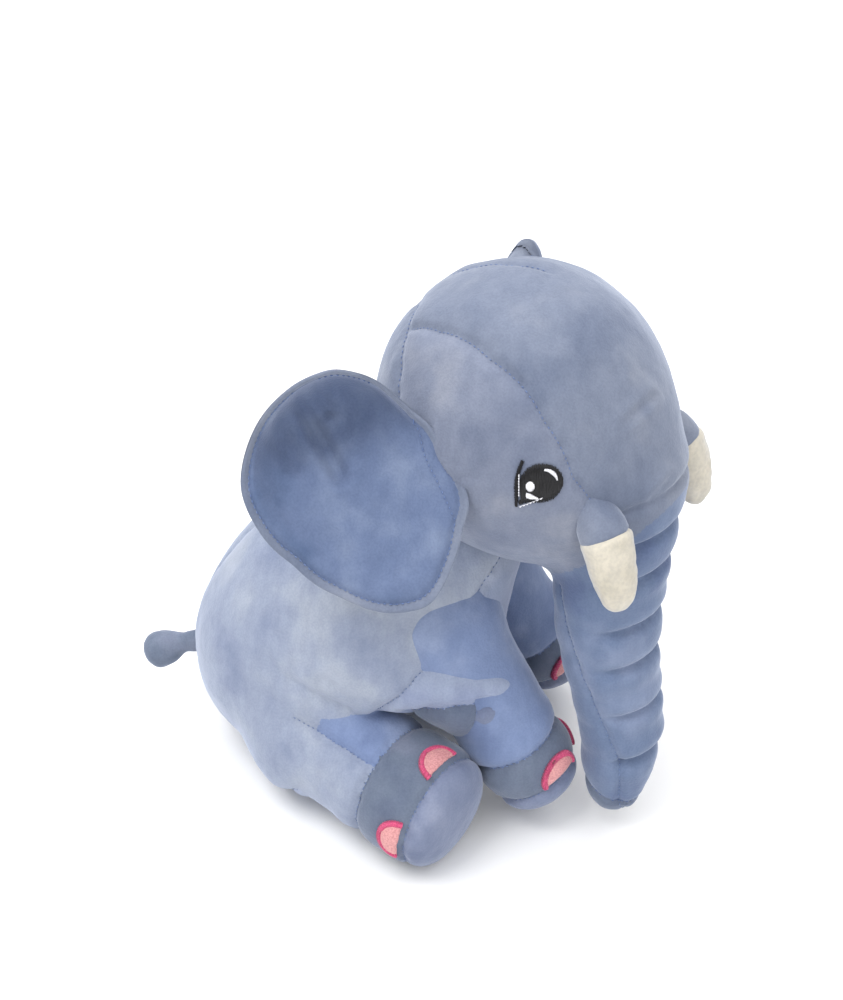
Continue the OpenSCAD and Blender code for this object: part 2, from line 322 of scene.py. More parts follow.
def sampled(f, low, counts, cell, block=8):
    """Field values on a grid, worked out in full only near the surface."""
    nodes = counts * block + 1
    axes = [low[k] + np.arange(counts[k] + 1) * cell * block for k in range(3)]
    coarse = f(np.stack(np.meshgrid(*axes, indexing="ij"), -1).reshape(-1, 3))
    coarse = coarse.reshape(counts + 1)
    near = np.abs(coarse) < cell * block * 1.5
    index = [np.minimum((np.arange(nodes[k]) + block // 2) // block, counts[k]) for k in range(3)]
    values = coarse[np.ix_(*index)].copy()
    wanted = near[np.ix_(*index)]
    spots = np.argwhere(wanted)
    values[wanted] = f(low + spots * cell)
    return values


def net(f, low, high, cell):
    """Quads on the zero surface of a field: (points, quads)."""
    low, high = np.array(low, float), np.array(high, float)
    counts = np.ceil((high - low) / (cell * 8)).astype(int)
    values = sampled(f, low, counts, cell)
    inside = values < 0
    shape = np.array(values.shape)
    sums, hits = np.zeros((shape.prod(), 3)), np.zeros(shape.prod())
    quads = []
    for k in range(3):
        i, j = (k + 1) % 3, (k + 2) % 3
        first = [slice(None)] * 3
        second = [slice(None)] * 3
        first[k], second[k] = slice(0, -1), slice(1, None)
        cross = inside[tuple(first)] != inside[tuple(second)]
        spots = np.argwhere(cross)
        a, b = values[tuple(first)][cross], values[tuple(second)][cross]
        place = spots.astype(float)
        place[:, k] += a / (a - b)
        corners = []
        for di, dj in ((-1, -1), (0, -1), (0, 0), (-1, 0)):
            cellid = spots.copy()
            cellid[:, i] += di
            cellid[:, j] += dj
            flat = np.ravel_multi_index(cellid.T, shape)
            for axis in range(3):
                sums[:, axis] += np.bincount(flat, place[:, axis], len(sums))
            hits += np.bincount(flat, minlength=len(hits))
            corners.append(flat)
        quad = np.stack(corners, 1)
        quad[a > 0] = quad[a > 0][:, ::-1]
        quads.append(quad)
    quads = np.concatenate(quads)
    used = np.flatnonzero(hits)
    renumber = np.zeros(len(hits), int)
    renumber[used] = np.arange(len(used))
    points = low + sums[used] / hits[used][:, None] * cell
    return points, renumber[quads]


def edges_of(quads):
    e = np.concatenate([quads[:, [0, 1]], quads[:, [1, 2]], quads[:, [2, 3]], quads[:, [3, 0]]])
    return np.unique(np.sort(e, 1), axis=0)


def relaxed(points, edges, f, rounds):
    """Evens out the net and keeps it on the surface."""
    degree = np.bincount(edges.ravel(), minlength=len(points))[:, None]
    for _ in range(rounds):
        total = np.stack([np.bincount(edges[:, 0], points[edges[:, 1], k], len(points))
                          + np.bincount(edges[:, 1], points[edges[:, 0], k], len(points))
                          for k in range(3)], 1)
        points = points * 0.4 + 0.6 * total / degree
        g = gradient(f, points)
        points = points - (f(points) / (g * g).sum(1))[:, None] * g
    return points


def mesh_normals(points, quads):
    a = points[quads[:, 2]] - points[quads[:, 0]]
    b = points[quads[:, 3]] - points[quads[:, 1]]
    face = np.cross(a, b)
    n = np.stack([sum(np.bincount(quads[:, c], face[:, k], len(points)) for c in range(4))
                  for k in range(3)], 1)
    return n / np.maximum(np.linalg.norm(n, axis=1), 1e-12)[:, None]


STUFFING_PRESSURE = 4.0
SWELL_CAP = 7.0
SWELL_CELL = 6.0


def swelling(f, low, high, pin):
    """Cloth simulation of the stuffed form: coarse points, and how far each swells.

    pin gives how firmly each point is held, as along a seam."""
    points, quads = net(f, low, high, SWELL_CELL)
    points = relaxed(points, edges_of(quads), f, 3)
    normals = mesh_normals(points, quads)
    mesh = bpy.data.meshes.new("swelling")
    start = (points - 1.5 * normals) * MM
    mesh.from_pydata(start.tolist(), [], quads.tolist())
    trial = bpy.data.objects.new("swelling", mesh)
    bpy.context.scene.collection.objects.link(trial)
    group = trial.vertex_groups.new(name="held")
    for i, weight in enumerate(np.clip(pin(points), 0, 1)):
        group.add([i], float(weight), "REPLACE")
    cloth = trial.modifiers.new("cloth", "CLOTH")
    settings = cloth.settings
    settings.quality = 5
    settings.mass = 0.15
    settings.tension_stiffness = 8
    settings.compression_stiffness = 8
    settings.shear_stiffness = 4
    settings.bending_stiffness = 0.3
    settings.use_pressure = True
    settings.uniform_pressure_force = STUFFING_PRESSURE
    settings.vertex_group_mass = "held"
    settings.effector_weights.gravity = 0
    cloth.collision_settings.use_collision = False
    scene = bpy.context.scene
    for number in range(1, 19):
        scene.frame_set(number)
    shape = trial.evaluated_get(bpy.context.evaluated_depsgraph_get())
    swollen = np.zeros(len(points) * 3, np.float32)
    shape.data.vertices.foreach_get("co", swollen)
    swollen = swollen.reshape(-1, 3).astype(float) / MM
    bpy.data.objects.remove(trial)
    bpy.data.meshes.remove(mesh)
    scene.frame_set(1)
    out = ((swollen - points) * normals).sum(1)
    out = np.nan_to_num(out - np.median(out))
    return points, np.clip(out, -SWELL_CAP, SWELL_CAP)


def carried(coarse, values, fine):
    """Values at coarse points, carried over to nearby fine points."""
    tree = KDTree(len(coarse))
    for i, p in enumerate(coarse):
        tree.insert(p, i)
    tree.balance()
    out = np.zeros(len(fine))
    for i, p in enumerate(fine):
        total = weight = 0.0
        for _, j, d in tree.find_n(p, 7):
            w = 1.0 / (d * d + 4.0) ** 2
            total += w * values[j]
            weight += w
        out[i] = total / weight
    return out


class Seam:
    """A sewn line where field is zero, inside where() and never outside it."""

    def __init__(self, field, depth=1.6, width=2.6, puff=1.2, where=None, split=True,
                 stitches=True, pucker=0.35):
        self.field, self.depth, self.width, self.puff = field, depth, width, puff
        self.where, self.split, self.stitches, self.pucker = where, split, stitches, pucker

    def mask(self, p):
        return np.ones(len(p)) if self.where is None else self.where(p)

    def groove(self, p):
        f, g = self.field(p), np.linalg.norm(gradient(self.field, p), axis=1)
        d = np.abs(f) / np.maximum(g, 1e-6)
        ripple = 1 + 0.5 * noise(p, 5.0, 3)
        out = -self.depth * np.exp(-(d / self.width) ** 2) * ripple
        out += self.puff * (np.exp(-((d - 11) / 8) ** 2))
        out += self.pucker * noise(p, 4.0, 5) * np.exp(-(d / 6) ** 2)
        return out * self.mask(p)


class Skin:
    """One stuffed form: its net, its seams and the panels they part."""

    def __init__(self, f, low, high, cell, seams, place=None, mirror=False, seed=0, creases=(),
                 lump=1.0, extra=None):
        points, quads = net(f, low, high, cell)
        self.edges = edges_of(quads)
        points = relaxed(points, self.edges, f, 4)
        self.quads, self.field, self.seams = quads, f, seams
        self.points = points
        self.marks = []
        taken = np.zeros(len(points), bool)
        for seam in seams:
            self.marks.append(self.snap(seam, taken) if seam.split else seam.field(self.points))
        normals = gradient(f, self.points)
        normals /= np.linalg.norm(normals, axis=1)[:, None]
        self.rest = self.points.copy()
        push = np.zeros(len(points))
        for seam in seams:
            push += seam.groove(self.points)
        for path, depth, width in creases:
            d = path_distance(self.points, path)
            push -= depth * np.exp(-(d / width) ** 2)
            push += 0.45 * depth * np.exp(-((d - 2.2 * width) / (1.2 * width)) ** 2)
        if extra is not None:
            push += extra(self.points)
        coarse, swell = swelling(f, low, high, self.held)
        push += carried(coarse, swell, self.points)
        push += lump * (1.1 * noise(self.points, 42, seed) + 0.5 * noise(self.points, 17, seed + 1)
                        + 0.16 * noise(self.points, 6, seed + 2))
        self.push = push
        self.points = self.points + normals * push[:, None]
        if place is not None:
            self.points = place(self.points)
        self.flip = mirror
        if mirror:
            self.points = self.points * MIRROR
            self.quads = self.quads[:, ::-1]
        self.finish()

    def finish(self):
        self.normals = mesh_normals(self.points, self.quads)
        self.tree = BVHTree.FromPolygons(self.points.tolist(), self.quads.tolist())

    def held(self, p):
        """How firmly the cloth is held at points: fully along a seam."""
        firm = np.zeros(len(p))
        for seam in self.seams:
            if seam.depth == 0:
                continue
            g = np.linalg.norm(gradient(seam.field, p), axis=1)
            d = np.abs(seam.field(p)) / np.maximum(g, 1e-6)
            firm = np.maximum(firm, np.exp(-(d / 7) ** 2) * seam.mask(p))
        return firm

    def snap(self, seam, taken):
        """Moves the nearest points onto a seam, and gives the field there."""
        f = seam.field(self.points)
        g = gradient(seam.field, self.points)
        n = gradient(self.field, self.points)
        n /= np.linalg.norm(n, axis=1)[:, None]
        g -= (g * n).sum(1)[:, None] * n
        size = np.maximum(np.linalg.norm(g, axis=1), 1e-6)
        a, b = self.edges.T
        cross = (f[a] < 0) != (f[b] < 0)
        a, b = a[cross], b[cross]
        nearer = np.where(np.abs(f[a]) / size[a] < np.abs(f[b]) / size[b], a, b)
        chosen = np.unique(nearer)
        move = chosen[~taken[chosen]]
        self.points[move] -= (f[move] / size[move] ** 2)[:, None] * g[move]
        taken[chosen] = True
        f[chosen] = 0
        return f

    def sign(self, number):
        """Which side of a seam each quad is on, as -1 or 1."""
        return np.where(self.marks[number][self.quads].sum(1) < 0, -1, 1)

    def put(self, points, lift):
        """Places on the finished surface nearest to some points."""
        out, normals = [], []
        for p in np.asarray(points, float):
            spot, normal, _, _ = self.tree.find_nearest(Vector(p))
            out.append(np.array(spot) + np.array(normal) * lift)
            normals.append(np.array(normal))
        return np.array(out), np.array(normals)

    def lines(self, number):
        """The seam as chains of points on the finished surface."""
        seam, f = self.seams[number], self.marks[number]
        f = np.where(np.abs(f) < 1e-9, 1e-9, f)
        q = self.quads
        links = {}
        spots = {}
        mixed = np.flatnonzero((f[q] < 0).any(1) & (f[q] > 0).any(1))
        keep = seam.mask(self.rest)
        for face in q[mixed]:
            cut = []
            for c in range(4):
                a, b = int(face[c]), int(face[(c + 1) % 4])
                if (f[a] < 0) == (f[b] < 0) or keep[a] < 0.5:
                    continue
                key = (min(a, b), max(a, b))
                t = f[a] / (f[a] - f[b])
                spots[key] = self.points[a] * (1 - t) + self.points[b] * t
                cut.append(key)
            if len(cut) == 2:
                links.setdefault(cut[0], []).append(cut[1])
                links.setdefault(cut[1], []).append(cut[0])
        return chains(links, spots)


def chains(links, spots):
    out, seen = [], set()
    starts = [k for k in links if len(links[k]) == 1] + list(links)
    for start in starts:
        if start in seen:
            continue
        line, here = [start], start
        seen.add(start)
        while True:
            ahead = [k for k in links[here] if k not in seen]
            if not ahead:
                break
            here = ahead[0]
            seen.add(here)
            line.append(here)
        if len(line) > 6:
            out.append(np.array([spots[k] for k in line]))
    return out


def resampled(line, pitch):
    """The same line with points at an even pitch, lightly smoothed."""
    for _ in range(3):
        line[1:-1] = line[1:-1] * 0.5 + 0.25 * (line[:-2] + line[2:])
    run = np.concatenate([[0], np.cumsum(np.linalg.norm(np.diff(line, axis=0), axis=1))])
    at = np.arange(pitch / 2, run[-1], pitch)
    return np.stack([np.interp(at, run, line[:, k]) for k in range(3)], 1)


# ---------- materials ----------

def linear(rgb):
    out = []
    for c in rgb:
        c /= 255
        out.append(c / 12.92 if c <= 0.04045 else ((c + 0.055) / 1.055) ** 2.4)
    return (*out, 1.0)


def new_material(name, roughness, sheen, sheen_roughness, specular=0.25):
    material = bpy.data.materials.new(name)
    material.use_nodes = True
    nodes = material.node_tree.nodes
    shader = nodes["Principled BSDF"]
    shader.inputs["Roughness"].default_value = roughness
    shader.inputs["Sheen Weight"].default_value = sheen
    shader.inputs["Sheen Roughness"].default_value = sheen_roughness
    shader.inputs["Specular IOR Level"].default_value = specular
    return material, nodes, material.node_tree.links, shader


def noise_node(nodes, links, coords, size_mm, detail=2.0, stretch=None):
    source = coords.outputs["Object"]
    if stretch is not None:
        mapping = nodes.new("ShaderNodeMapping")
        mapping.inputs["Scale"].default_value = stretch
        mapping.inputs["Rotation"].default_value = (0.5, 0.3, 0.2)
        links.new(source, mapping.inputs["Vector"])
        source = mapping.outputs["Vector"]
    node = nodes.new("ShaderNodeTexNoise")
    node.inputs["Scale"].default_value = 1000.0 / size_mm
    node.inputs["Detail"].default_value = detail
    links.new(source, node.inputs["Vector"])
    return node.outputs["Fac"]


def ramp_node(nodes, links, value, stops):
    node = nodes.new("ShaderNodeValToRGB")
    node.color_ramp.interpolation = "EASE"
    while len(node.color_ramp.elements) < len(stops):
        node.color_ramp.elements.new(0.5)
    for element, (at, colour) in zip(node.color_ramp.elements, stops):
        element.position = at
        element.color = colour
    links.new(value, node.inputs["Fac"])
    return node.outputs["Color"]


def mix_node(nodes, links, blend, amount, a, b):
    node = nodes.new("ShaderNodeMix")
    node.data_type = "RGBA"
    node.blend_type = blend
    node.inputs["Factor"].default_value = amount
    links.new(a, node.inputs["A"])
    links.new(b, node.inputs["B"])
    return node.outputs["Result"]


def bump_node(nodes, links, height, distance_mm, strength, normal=None):
    node = nodes.new("ShaderNodeBump")
    node.inputs["Distance"].default_value = distance_mm * MM
    node.inputs["Strength"].default_value = strength
    links.new(height, node.inputs["Height"])
    if normal is not None:
        links.new(normal, node.inputs["Normal"])
    return node.outputs["Normal"]


def plush(name, dark, mid, light, patch=46.0, pile=1.0, sheen=0.55):
    """Short-pile cloth: brushed patches of nap, fine pile and a soft sheen."""
    material, nodes, links, shader = new_material(name, 0.92, sheen, 0.42, 0.15)
    shader.inputs["Sheen Tint"].default_value = linear((226, 233, 250))
    coords = nodes.new("ShaderNodeTexCoord")
    patches = noise_node(nodes, links, coords, patch, 3.0)
    colour = ramp_node(nodes, links, patches,
                       [(0.30, linear(dark)), (0.50, linear(mid)), (0.70, linear(light))])
    brushed = noise_node(nodes, links, coords, 7.0, 3.0, stretch=(1.0, 1.0, 0.35))
    strokes = ramp_node(nodes, links, brushed,
                        [(0.30, (0.86, 0.87, 0.89, 1)), (0.70, (1.0, 1.0, 1.0, 1))])
    colour = mix_node(nodes, links, "MULTIPLY", 0.75, colour, strokes)
    fibres = noise_node(nodes, links, coords, 1.3 * pile, 2.0)
    specks = ramp_node(nodes, links, fibres,
                       [(0.32, (0.84, 0.85, 0.88, 1)), (0.66, (1.0, 1.0, 1.0, 1))])
    colour = mix_node(nodes, links, "MULTIPLY", 0.6, colour, specks)
    links.new(colour, shader.inputs["Base Color"])
    normal = bump_node(nodes, links, noise_node(nodes, links, coords, 5.0, 3.0), 0.9, 0.35)
    normal = bump_node(nodes, links, fibres, 0.5 * pile, 0.5, normal)
    links.new(normal, shader.inputs["Normal"])
    return material


def thread(name, colour, shade, sheen=0.3, size=0.7):
    """Sewing or embroidery thread."""
    material, nodes, links, shader = new_material(name, 0.55, sheen, 0.3, 0.4)
    coords = nodes.new("ShaderNodeTexCoord")
    fibres = noise_node(nodes, links, coords, size, 2.0)
    tint = ramp_node(nodes, links, fibres, [(0.3, linear(shade)), (0.7, linear(colour))])
    links.new(tint, shader.inputs["Base Color"])
    links.new(bump_node(nodes, links, fibres, 0.12, 0.5), shader.inputs["Normal"])
    return material


BODY = plush("plush_body", (131, 141, 165), (148, 157, 177), (165, 172, 186))
LEG = plush("plush_leg", (110, 126, 162), (125, 141, 176), (144, 158, 189))
CAP = plush("plush_cap", (96, 106, 127), (108, 118, 136), (125, 132, 150))
SOLE = plush("plush_sole", (106, 116, 143), (121, 130, 155), (141, 148, 170))
BELLY = plush("plush_belly", (140, 150, 177), (156, 166, 189), (171, 179, 197))
HEAD = plush("plush_head", (105, 114, 134), (118, 126, 144), (133, 139, 153))
CHEEK = plush("plush_cheek", (110, 118, 138), (123, 130, 148), (138, 143, 157))
TRUNK = plush("plush_trunk", (93, 107, 139), (106, 121, 149), (125, 137, 163))
# Ear front colour: the ear's own deeper blue, darkened further with painted shade, as the ear lies
# in shade.
EAR_BLUE_AND_PAINTED_SHADE = plush("plush_ear_blue_and_painted_shade", (84, 100, 131), (100, 114, 144), (120, 133, 159))
CREAM = plush("plush_cream", (192, 185, 168), (204, 197, 182), (212, 207, 196), pile=1.7,
              sheen=0.4)
NAIL = thread("nail_felt", (222, 162, 160), (196, 130, 134), 0.4, 1.1)
SATIN = thread("nail_border", (222, 92, 134), (176, 58, 100))
BLACK = thread("eye_thread", (20, 19, 24), (6, 6, 8), 0.0)
WHITE = thread("glint_thread", (240, 240, 244), (214, 214, 222))
BLUE_THREAD = thread("seam_thread", (104, 124, 166), (82, 102, 146))


# ---------- pieces ----------

def add_mesh(name, points, faces, material, normals=None):
    mesh = bpy.data.meshes.new(name)
    mesh.from_pydata((np.asarray(points) * MM).tolist(), [], faces)
    mesh.materials.append(material)
    mesh.polygons.foreach_set("use_smooth", np.ones(len(mesh.polygons), bool))
    mesh.update()
    if normals is not None:
        mesh.normals_split_custom_set_from_vertices(normals.tolist())
    piece = bpy.data.objects.new(name, mesh)
    bpy.context.scene.collection.objects.link(piece)
    return piece


def attach(piece, hold):
    """hold is a body's name, or (body, body, start, end) in millimetres; the tuple's bodies and span
    are not used, and such a piece is only baked where it stands.
    """
    if isinstance(hold, str):
        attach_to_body(piece, hold)
    else:
        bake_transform(piece)
    return piece


def panel(skin, chosen, name, material, hold, nodes, allowance=2.2):
    """A cloth panel cut from a skin, its edges turned in as a seam allowance."""
    quads = skin.quads[chosen]
    used, flat = np.unique(quads, return_inverse=True)
    quads = flat.reshape(quads.shape)
    points, normals = skin.points[used], skin.normals[used]
    points, normals, quads = with_allowance(points, normals, quads, allowance)
    piece = add_mesh(name, points, quads.tolist(), material, normals)
    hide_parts(*nodes)
    return attach(piece, hold)


def with_allowance(points, normals, quads, depth):
    e = np.concatenate([quads[:, [c, (c + 1) % 4]] for c in range(4)])
    key = e.min(1) * len(points) + e.max(1)
    _, first, count = np.unique(key, return_index=True, return_counts=True)
    rim = e[first[count == 1]]
    ids = np.unique(rim)
    inward = np.full(len(points), -1)
    inward[ids] = np.arange(len(ids)) + len(points)
    tucked = points[ids] - normals[ids] * depth
    strip = np.stack([rim[:, 1], rim[:, 0], inward[rim[:, 0]], inward[rim[:, 1]]], 1)
    return (np.concatenate([points, tucked]), np.concatenate([normals, normals[ids]]),
            np.concatenate([quads, strip]))


def tubes(lines, radius, sides=6, taper=0.45):
    """Rounded strands along short lines, as one set of points and faces."""
    points, faces = [], []
    for line in lines:
        line = np.asarray(line, float)
        count = len(line)
        ahead = np.gradient(line, axis=0)
        ahead /= np.maximum(np.linalg.norm(ahead, axis=1), 1e-9)[:, None]
        helper = np.array([0.31, 0.87, 0.38])
        side = np.cross(ahead, helper)
        side /= np.linalg.norm(side, axis=1)[:, None]
        up = np.cross(side, ahead)
        share = np.linspace(0, 1, count)
        fat = radius * (taper + (1 - taper) * np.sin(np.pi * share) ** 0.4)
        start = len(points)
        for k in range(count):
            for s in range(sides):
                a = 2 * math.pi * s / sides
                points.append(line[k] + fat[k] * (math.cos(a) * side[k] + math.sin(a) * up[k]))
        for k in range(count - 1):
            for s in range(sides):
                t = (s + 1) % sides
                a, b = start + k * sides, start + (k + 1) * sides
                faces.append((a + s, a + t, b + t, b + s))
        faces.append(tuple(start + s for s in reversed(range(sides))))
        faces.append(tuple(start + (count - 1) * sides + s for s in range(sides)))
    return points, faces


def stitch_strands(skin, line, pitch=STITCH_PITCH, lift=0.25):
    """Short thread stitches along a seam, sunk in its groove."""
    strands = []
    spots = resampled(line.copy(), pitch / 2)
    for k in range(0, len(spots) - 2, 2):
        a, c = spots[k], spots[k + 1]
        middle = (a + c) / 2
        placed, _ = skin.put([a, middle, c], lift)
        placed[1] += (placed[1] - skin.put([middle], 0)[0][0]) * 0.6
        strands.append(placed)
    return strands


def sew(skin, numbers, name, hold, radius=0.34, keep=None):
    strands = []
    for number in numbers:
        for line in skin.lines(number):
            if keep is not None:
                line = line[keep(line)]
                if len(line) < 8:
                    continue
            strands += stitch_strands(skin, line)
    if not strands:
        return None
    points, faces = tubes(strands, radius)
    piece = add_mesh(name, points, faces, BLUE_THREAD)
    return attach(piece, hold)


# ---------- torso and hind legs ----------

BELLY_WAY = np.array([0.0, -math.cos(math.radians(38)), -math.sin(math.radians(38))])
BELLY_SEAM = 34.0
HIND_SPLIT = 24.0
HIND_BEND = 40.0


def belly_edge(p):
    return (p - SPINE_AT) @ BELLY_WAY - BELLY_SEAM


def paired(p):
    """The same points brought over to the toy's right side."""
    q = np.array(p, float)
    q[:, 0] = -np.abs(q[:, 0])
    return q


def hind_edge(p):
    """Above zero on a hind leg, below zero on the torso."""
    q = paired(p)
    along = to_leg(q, HIND_LEG)[:, 2] - HIND_SPLIT
    apart = torso_field(q) - hind_field(q) + 4
    return np.minimum(along, apart)


def hind_along(p):
    return to_leg(paired(p), HIND_LEG)[:, 2]


def hind_cap_edge(p):
    return np.minimum(hind_edge(p), hind_along(p) - (HIND_LEG["length"] - HIND_LEG["cap"]))


def hind_sole_edge(p):
    return np.minimum(hind_edge(p), hind_along(p) - (HIND_LEG["length"] - SOLE_EDGE))


def hind_top_seam(p):
    """The seam along the top of a thigh, from the belly to the foot's cap."""
    q = to_leg(paired(p), HIND_LEG)
    return q[:, 0] - 4


def hind_top_mask(p):
    q = to_leg(paired(p), HIND_LEG)
    return (smooth(q[:, 2], 4, 12) * (1 - smooth(q[:, 2], 66, 69)) * smooth(q[:, 1], 2, 10))


def back_seam_mask(p):
    return smooth(p[:, 1], 12, 24) * smooth(p[:, 2], 6, 14)


def torso_only(p):
    return 1 - smooth(hind_edge(p), -6, 2)


def beside_hind(p):
    return smooth(hind_along(p), 30, 36)


BODY_CREASES = [
    ([(-83, 22, 132), (-86, -6, 112), (-84, -42, 96)], 3.2, 5.5),
    ([(-86, -28, 118), (-84, -50, 106)], 2.2, 4.5),
    ([(-62, -64, 92), (-74, -48, 84)], 2.0, 5.0),
    ([(84, 22, 132), (87, -8, 112), (84, -42, 98)], 2.6, 5.5),
]

body_seams = [
    Seam(hind_edge, depth=0.0, puff=0.0, pucker=0.0, stitches=False),
    Seam(hind_cap_edge, depth=2.4, width=2.8, puff=1.6, where=beside_hind),
    Seam(hind_sole_edge, depth=2.4, width=2.6, puff=1.4, where=beside_hind),
    Seam(belly_edge, depth=2.2, width=2.8, puff=1.4, where=torso_only),
    Seam(lambda p: p[:, 0], depth=1.8, puff=1.2, where=back_seam_mask, split=False),
    Seam(hind_top_seam, depth=2.0, puff=1.2, where=hind_top_mask),
]

body_skin = Skin(body_field, (-150, -172, -4), (150, 104, 222), 2.0, body_seams,
                 creases=BODY_CREASES, seed=11, lump=1.0)


def quad_centres(skin):
    return skin.rest[skin.quads].mean(1)


def hind_hold(side):
    flip = 1 if side == "right" else -1
    start = from_leg([[0, 0, HIND_SPLIT]], HIND_LEG)[0] * (flip, 1, 1)
    end = from_leg([[0, 0, HIND_SPLIT + HIND_BEND]], HIND_LEG)[0] * (flip, 1, 1)
    return ("torso", f"hind_leg_{side}", start, end)


def build_body():
    skin = body_skin
    leg, cap, sole, belly, _, inner = (skin.sign(k) for k in range(6))
    middle = quad_centres(skin)
    in_neck = ball(middle, HEAD_AT, HEAD_R) < -6
    on_torso = (leg < 0) & ~in_neck
    panel(skin, on_torso & (belly < 0), "torso_back_cloth", BODY, "torso",
          ["torso_back_panel"])
    panel(skin, on_torso & (belly > 0), "belly_cloth", BELLY, "torso", ["belly_panel"])
    sew(skin, [3, 4], "torso_stitches", "torso")
    for side in SIDES:
        here = (middle[:, 0] < 0) == (side == "right")
        flip = -1 if side == "right" else 1
        hold = hind_hold(side)
        body = f"hind_leg_{side}"
        thigh = here & (leg > 0) & (cap < 0)
        panel(skin, thigh & (inner < 0), f"hind_leg_outer_cloth_{side}", BODY, hold,
              [f"hind_leg_skin_{side}"])
        panel(skin, thigh & (inner > 0), f"hind_leg_inner_cloth_{side}", LEG, hold,
              [f"hind_leg_skin_{side}"])
        panel(skin, here & (cap > 0) & (sole < 0), f"hind_cap_cloth_{side}", CAP, body,
              [f"hind_foot_cap_{side}"])
        panel(skin, here & (sole > 0), f"hind_sole_cloth_{side}", SOLE, body,
              [f"hind_sole_{side}"])
        sew(skin, [1, 2], f"hind_foot_stitches_{side}", body,
            keep=lambda line, f=flip: line[:, 0] * f > 0)
        sew(skin, [5], f"thigh_stitches_{side}", hold,
            keep=lambda line, f=flip: line[:, 0] * f > 0)
        build_nails(skin, HIND_LEG, "hind", side, body)
    build_linings()


def lining(f, low, high, shrink, name, hold, nodes, material):
    """The stuffed form inside the cloth, seen only where a seam opens."""
    points, quads = net(lambda p: f(p) + shrink, low, high, 5.0)
    points = relaxed(points, edges_of(quads), lambda p: f(p) + shrink, 2)
    if hold.endswith("left"):
        points, quads = points * MIRROR, quads[:, ::-1]
    piece = add_mesh(name, points, quads.tolist(), material)
    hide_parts(*nodes)
    attach(piece, hold)


def build_linings():
    lining(lambda p: on_floor(torso_field(p), p, 2), (-130, -140, -4), (130, 110, 240), 4.0,
           "torso_lining", "torso", ["torso_filling"], BODY)
    for side in SIDES:
        lining(lambda p: on_floor(hind_field(p), p, 2), (-160, -165, -4), (0, 60, 110), 3.0,
               f"hind_lining_{side}", f"hind_leg_{side}", [f"hind_leg_filling_{side}"], LEG)


# ---------- nails ----------

NAIL_HALF = 14.0
NAIL_TALL = 14.5
NAIL_TURN = math.radians(44)


def nail_place(leg, side, turn, across, up):
    """Points beside a leg at a nail's own across and up, not yet on its skin."""
    angle = turn + np.asarray(across) / leg["foot"]
    z = leg["length"] - SOLE_EDGE - 2.6 - np.asarray(up)
    r = leg["foot"] + 2.0
    p = from_leg(np.stack([-np.sin(angle) * r, np.cos(angle) * r, z], 1), leg)
    return p if side == "right" else p * MIRROR


def build_nails(skin, leg, name, side, body):
    points, faces, strands = [], [], []
    for turn in (-NAIL_TURN, NAIL_TURN):
        s, t = np.meshgrid(np.linspace(-0.98, 0.98, 25), np.linspace(0, 1, 13), indexing="ij")
        s, t = s.ravel(), t.ravel()
        tall = NAIL_TALL * np.sqrt(1 - s * s)
        flat = nail_place(leg, side, turn, s * NAIL_HALF, t * tall)
        placed, normals = skin.put(flat, 0)
        edge = np.minimum(1 - np.abs(s), np.minimum(t, 1 - t)) * 4
        placed += normals * (0.3 + 1.5 * np.sqrt(np.clip(edge, 0, 1)))[:, None]
        start = len(points)
        points += list(placed)
        for i in range(24):
            for j in range(12):
                a = start + i * 13 + j
                quad = (a, a + 13, a + 14, a + 1)
                faces.append(quad if side == "right" else quad[::-1])
        strands += nail_border(skin, leg, side, turn)
    fill = add_mesh(f"{name}_nail_fill_{side}", points, faces, NAIL)
    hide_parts(f"{name}_nails_{side}")
    attach(fill, body)
    points, faces = tubes(strands, 0.5, sides=5)
    attach(add_mesh(f"{name}_nail_border_{side}", points, faces, SATIN), body)


def nail_border(skin, leg, side, turn):
    """Satin strands across the curved edge of a nail."""
    strands = []
    count = 66
    for k in range(count):
        a = math.pi * (k + 0.5) / count
        radii = np.array([0.80, 0.90, 1.0, 1.08]) + 0.012 * math.sin(k * 2.3)
        across, up = radii * NAIL_HALF * math.cos(a), radii * NAIL_TALL * math.sin(a)
        placed, normals = skin.put(nail_place(leg, side, turn, across, up), 0)
        placed += normals * np.array([1.2, 2.1, 1.9, 0.2])[:, None]
        strands.append(placed)
    return strands


# ---------- front legs ----------

def front_along(p):
    return to_leg(p, FRONT_LEG)[:, 2]


def front_cap_edge(p):
    return front_along(p) - (FRONT_LEG["length"] - FRONT_LEG["cap"])


def front_sole_edge(p):
    return front_along(p) - (FRONT_LEG["length"] - SOLE_EDGE)


def inseam_mask(p):
    q = to_leg(p, FRONT_LEG)
    return (1 - smooth(q[:, 1], -8, 0)) * smooth(q[:, 2], 10, 20) * (1 - smooth(q[:, 2], 92, 96))


FRONT_CREASES = [
    ([(-82, -84, 118), (-78, -104, 108), (-66, -120, 100)], 1.8, 5.0),
]


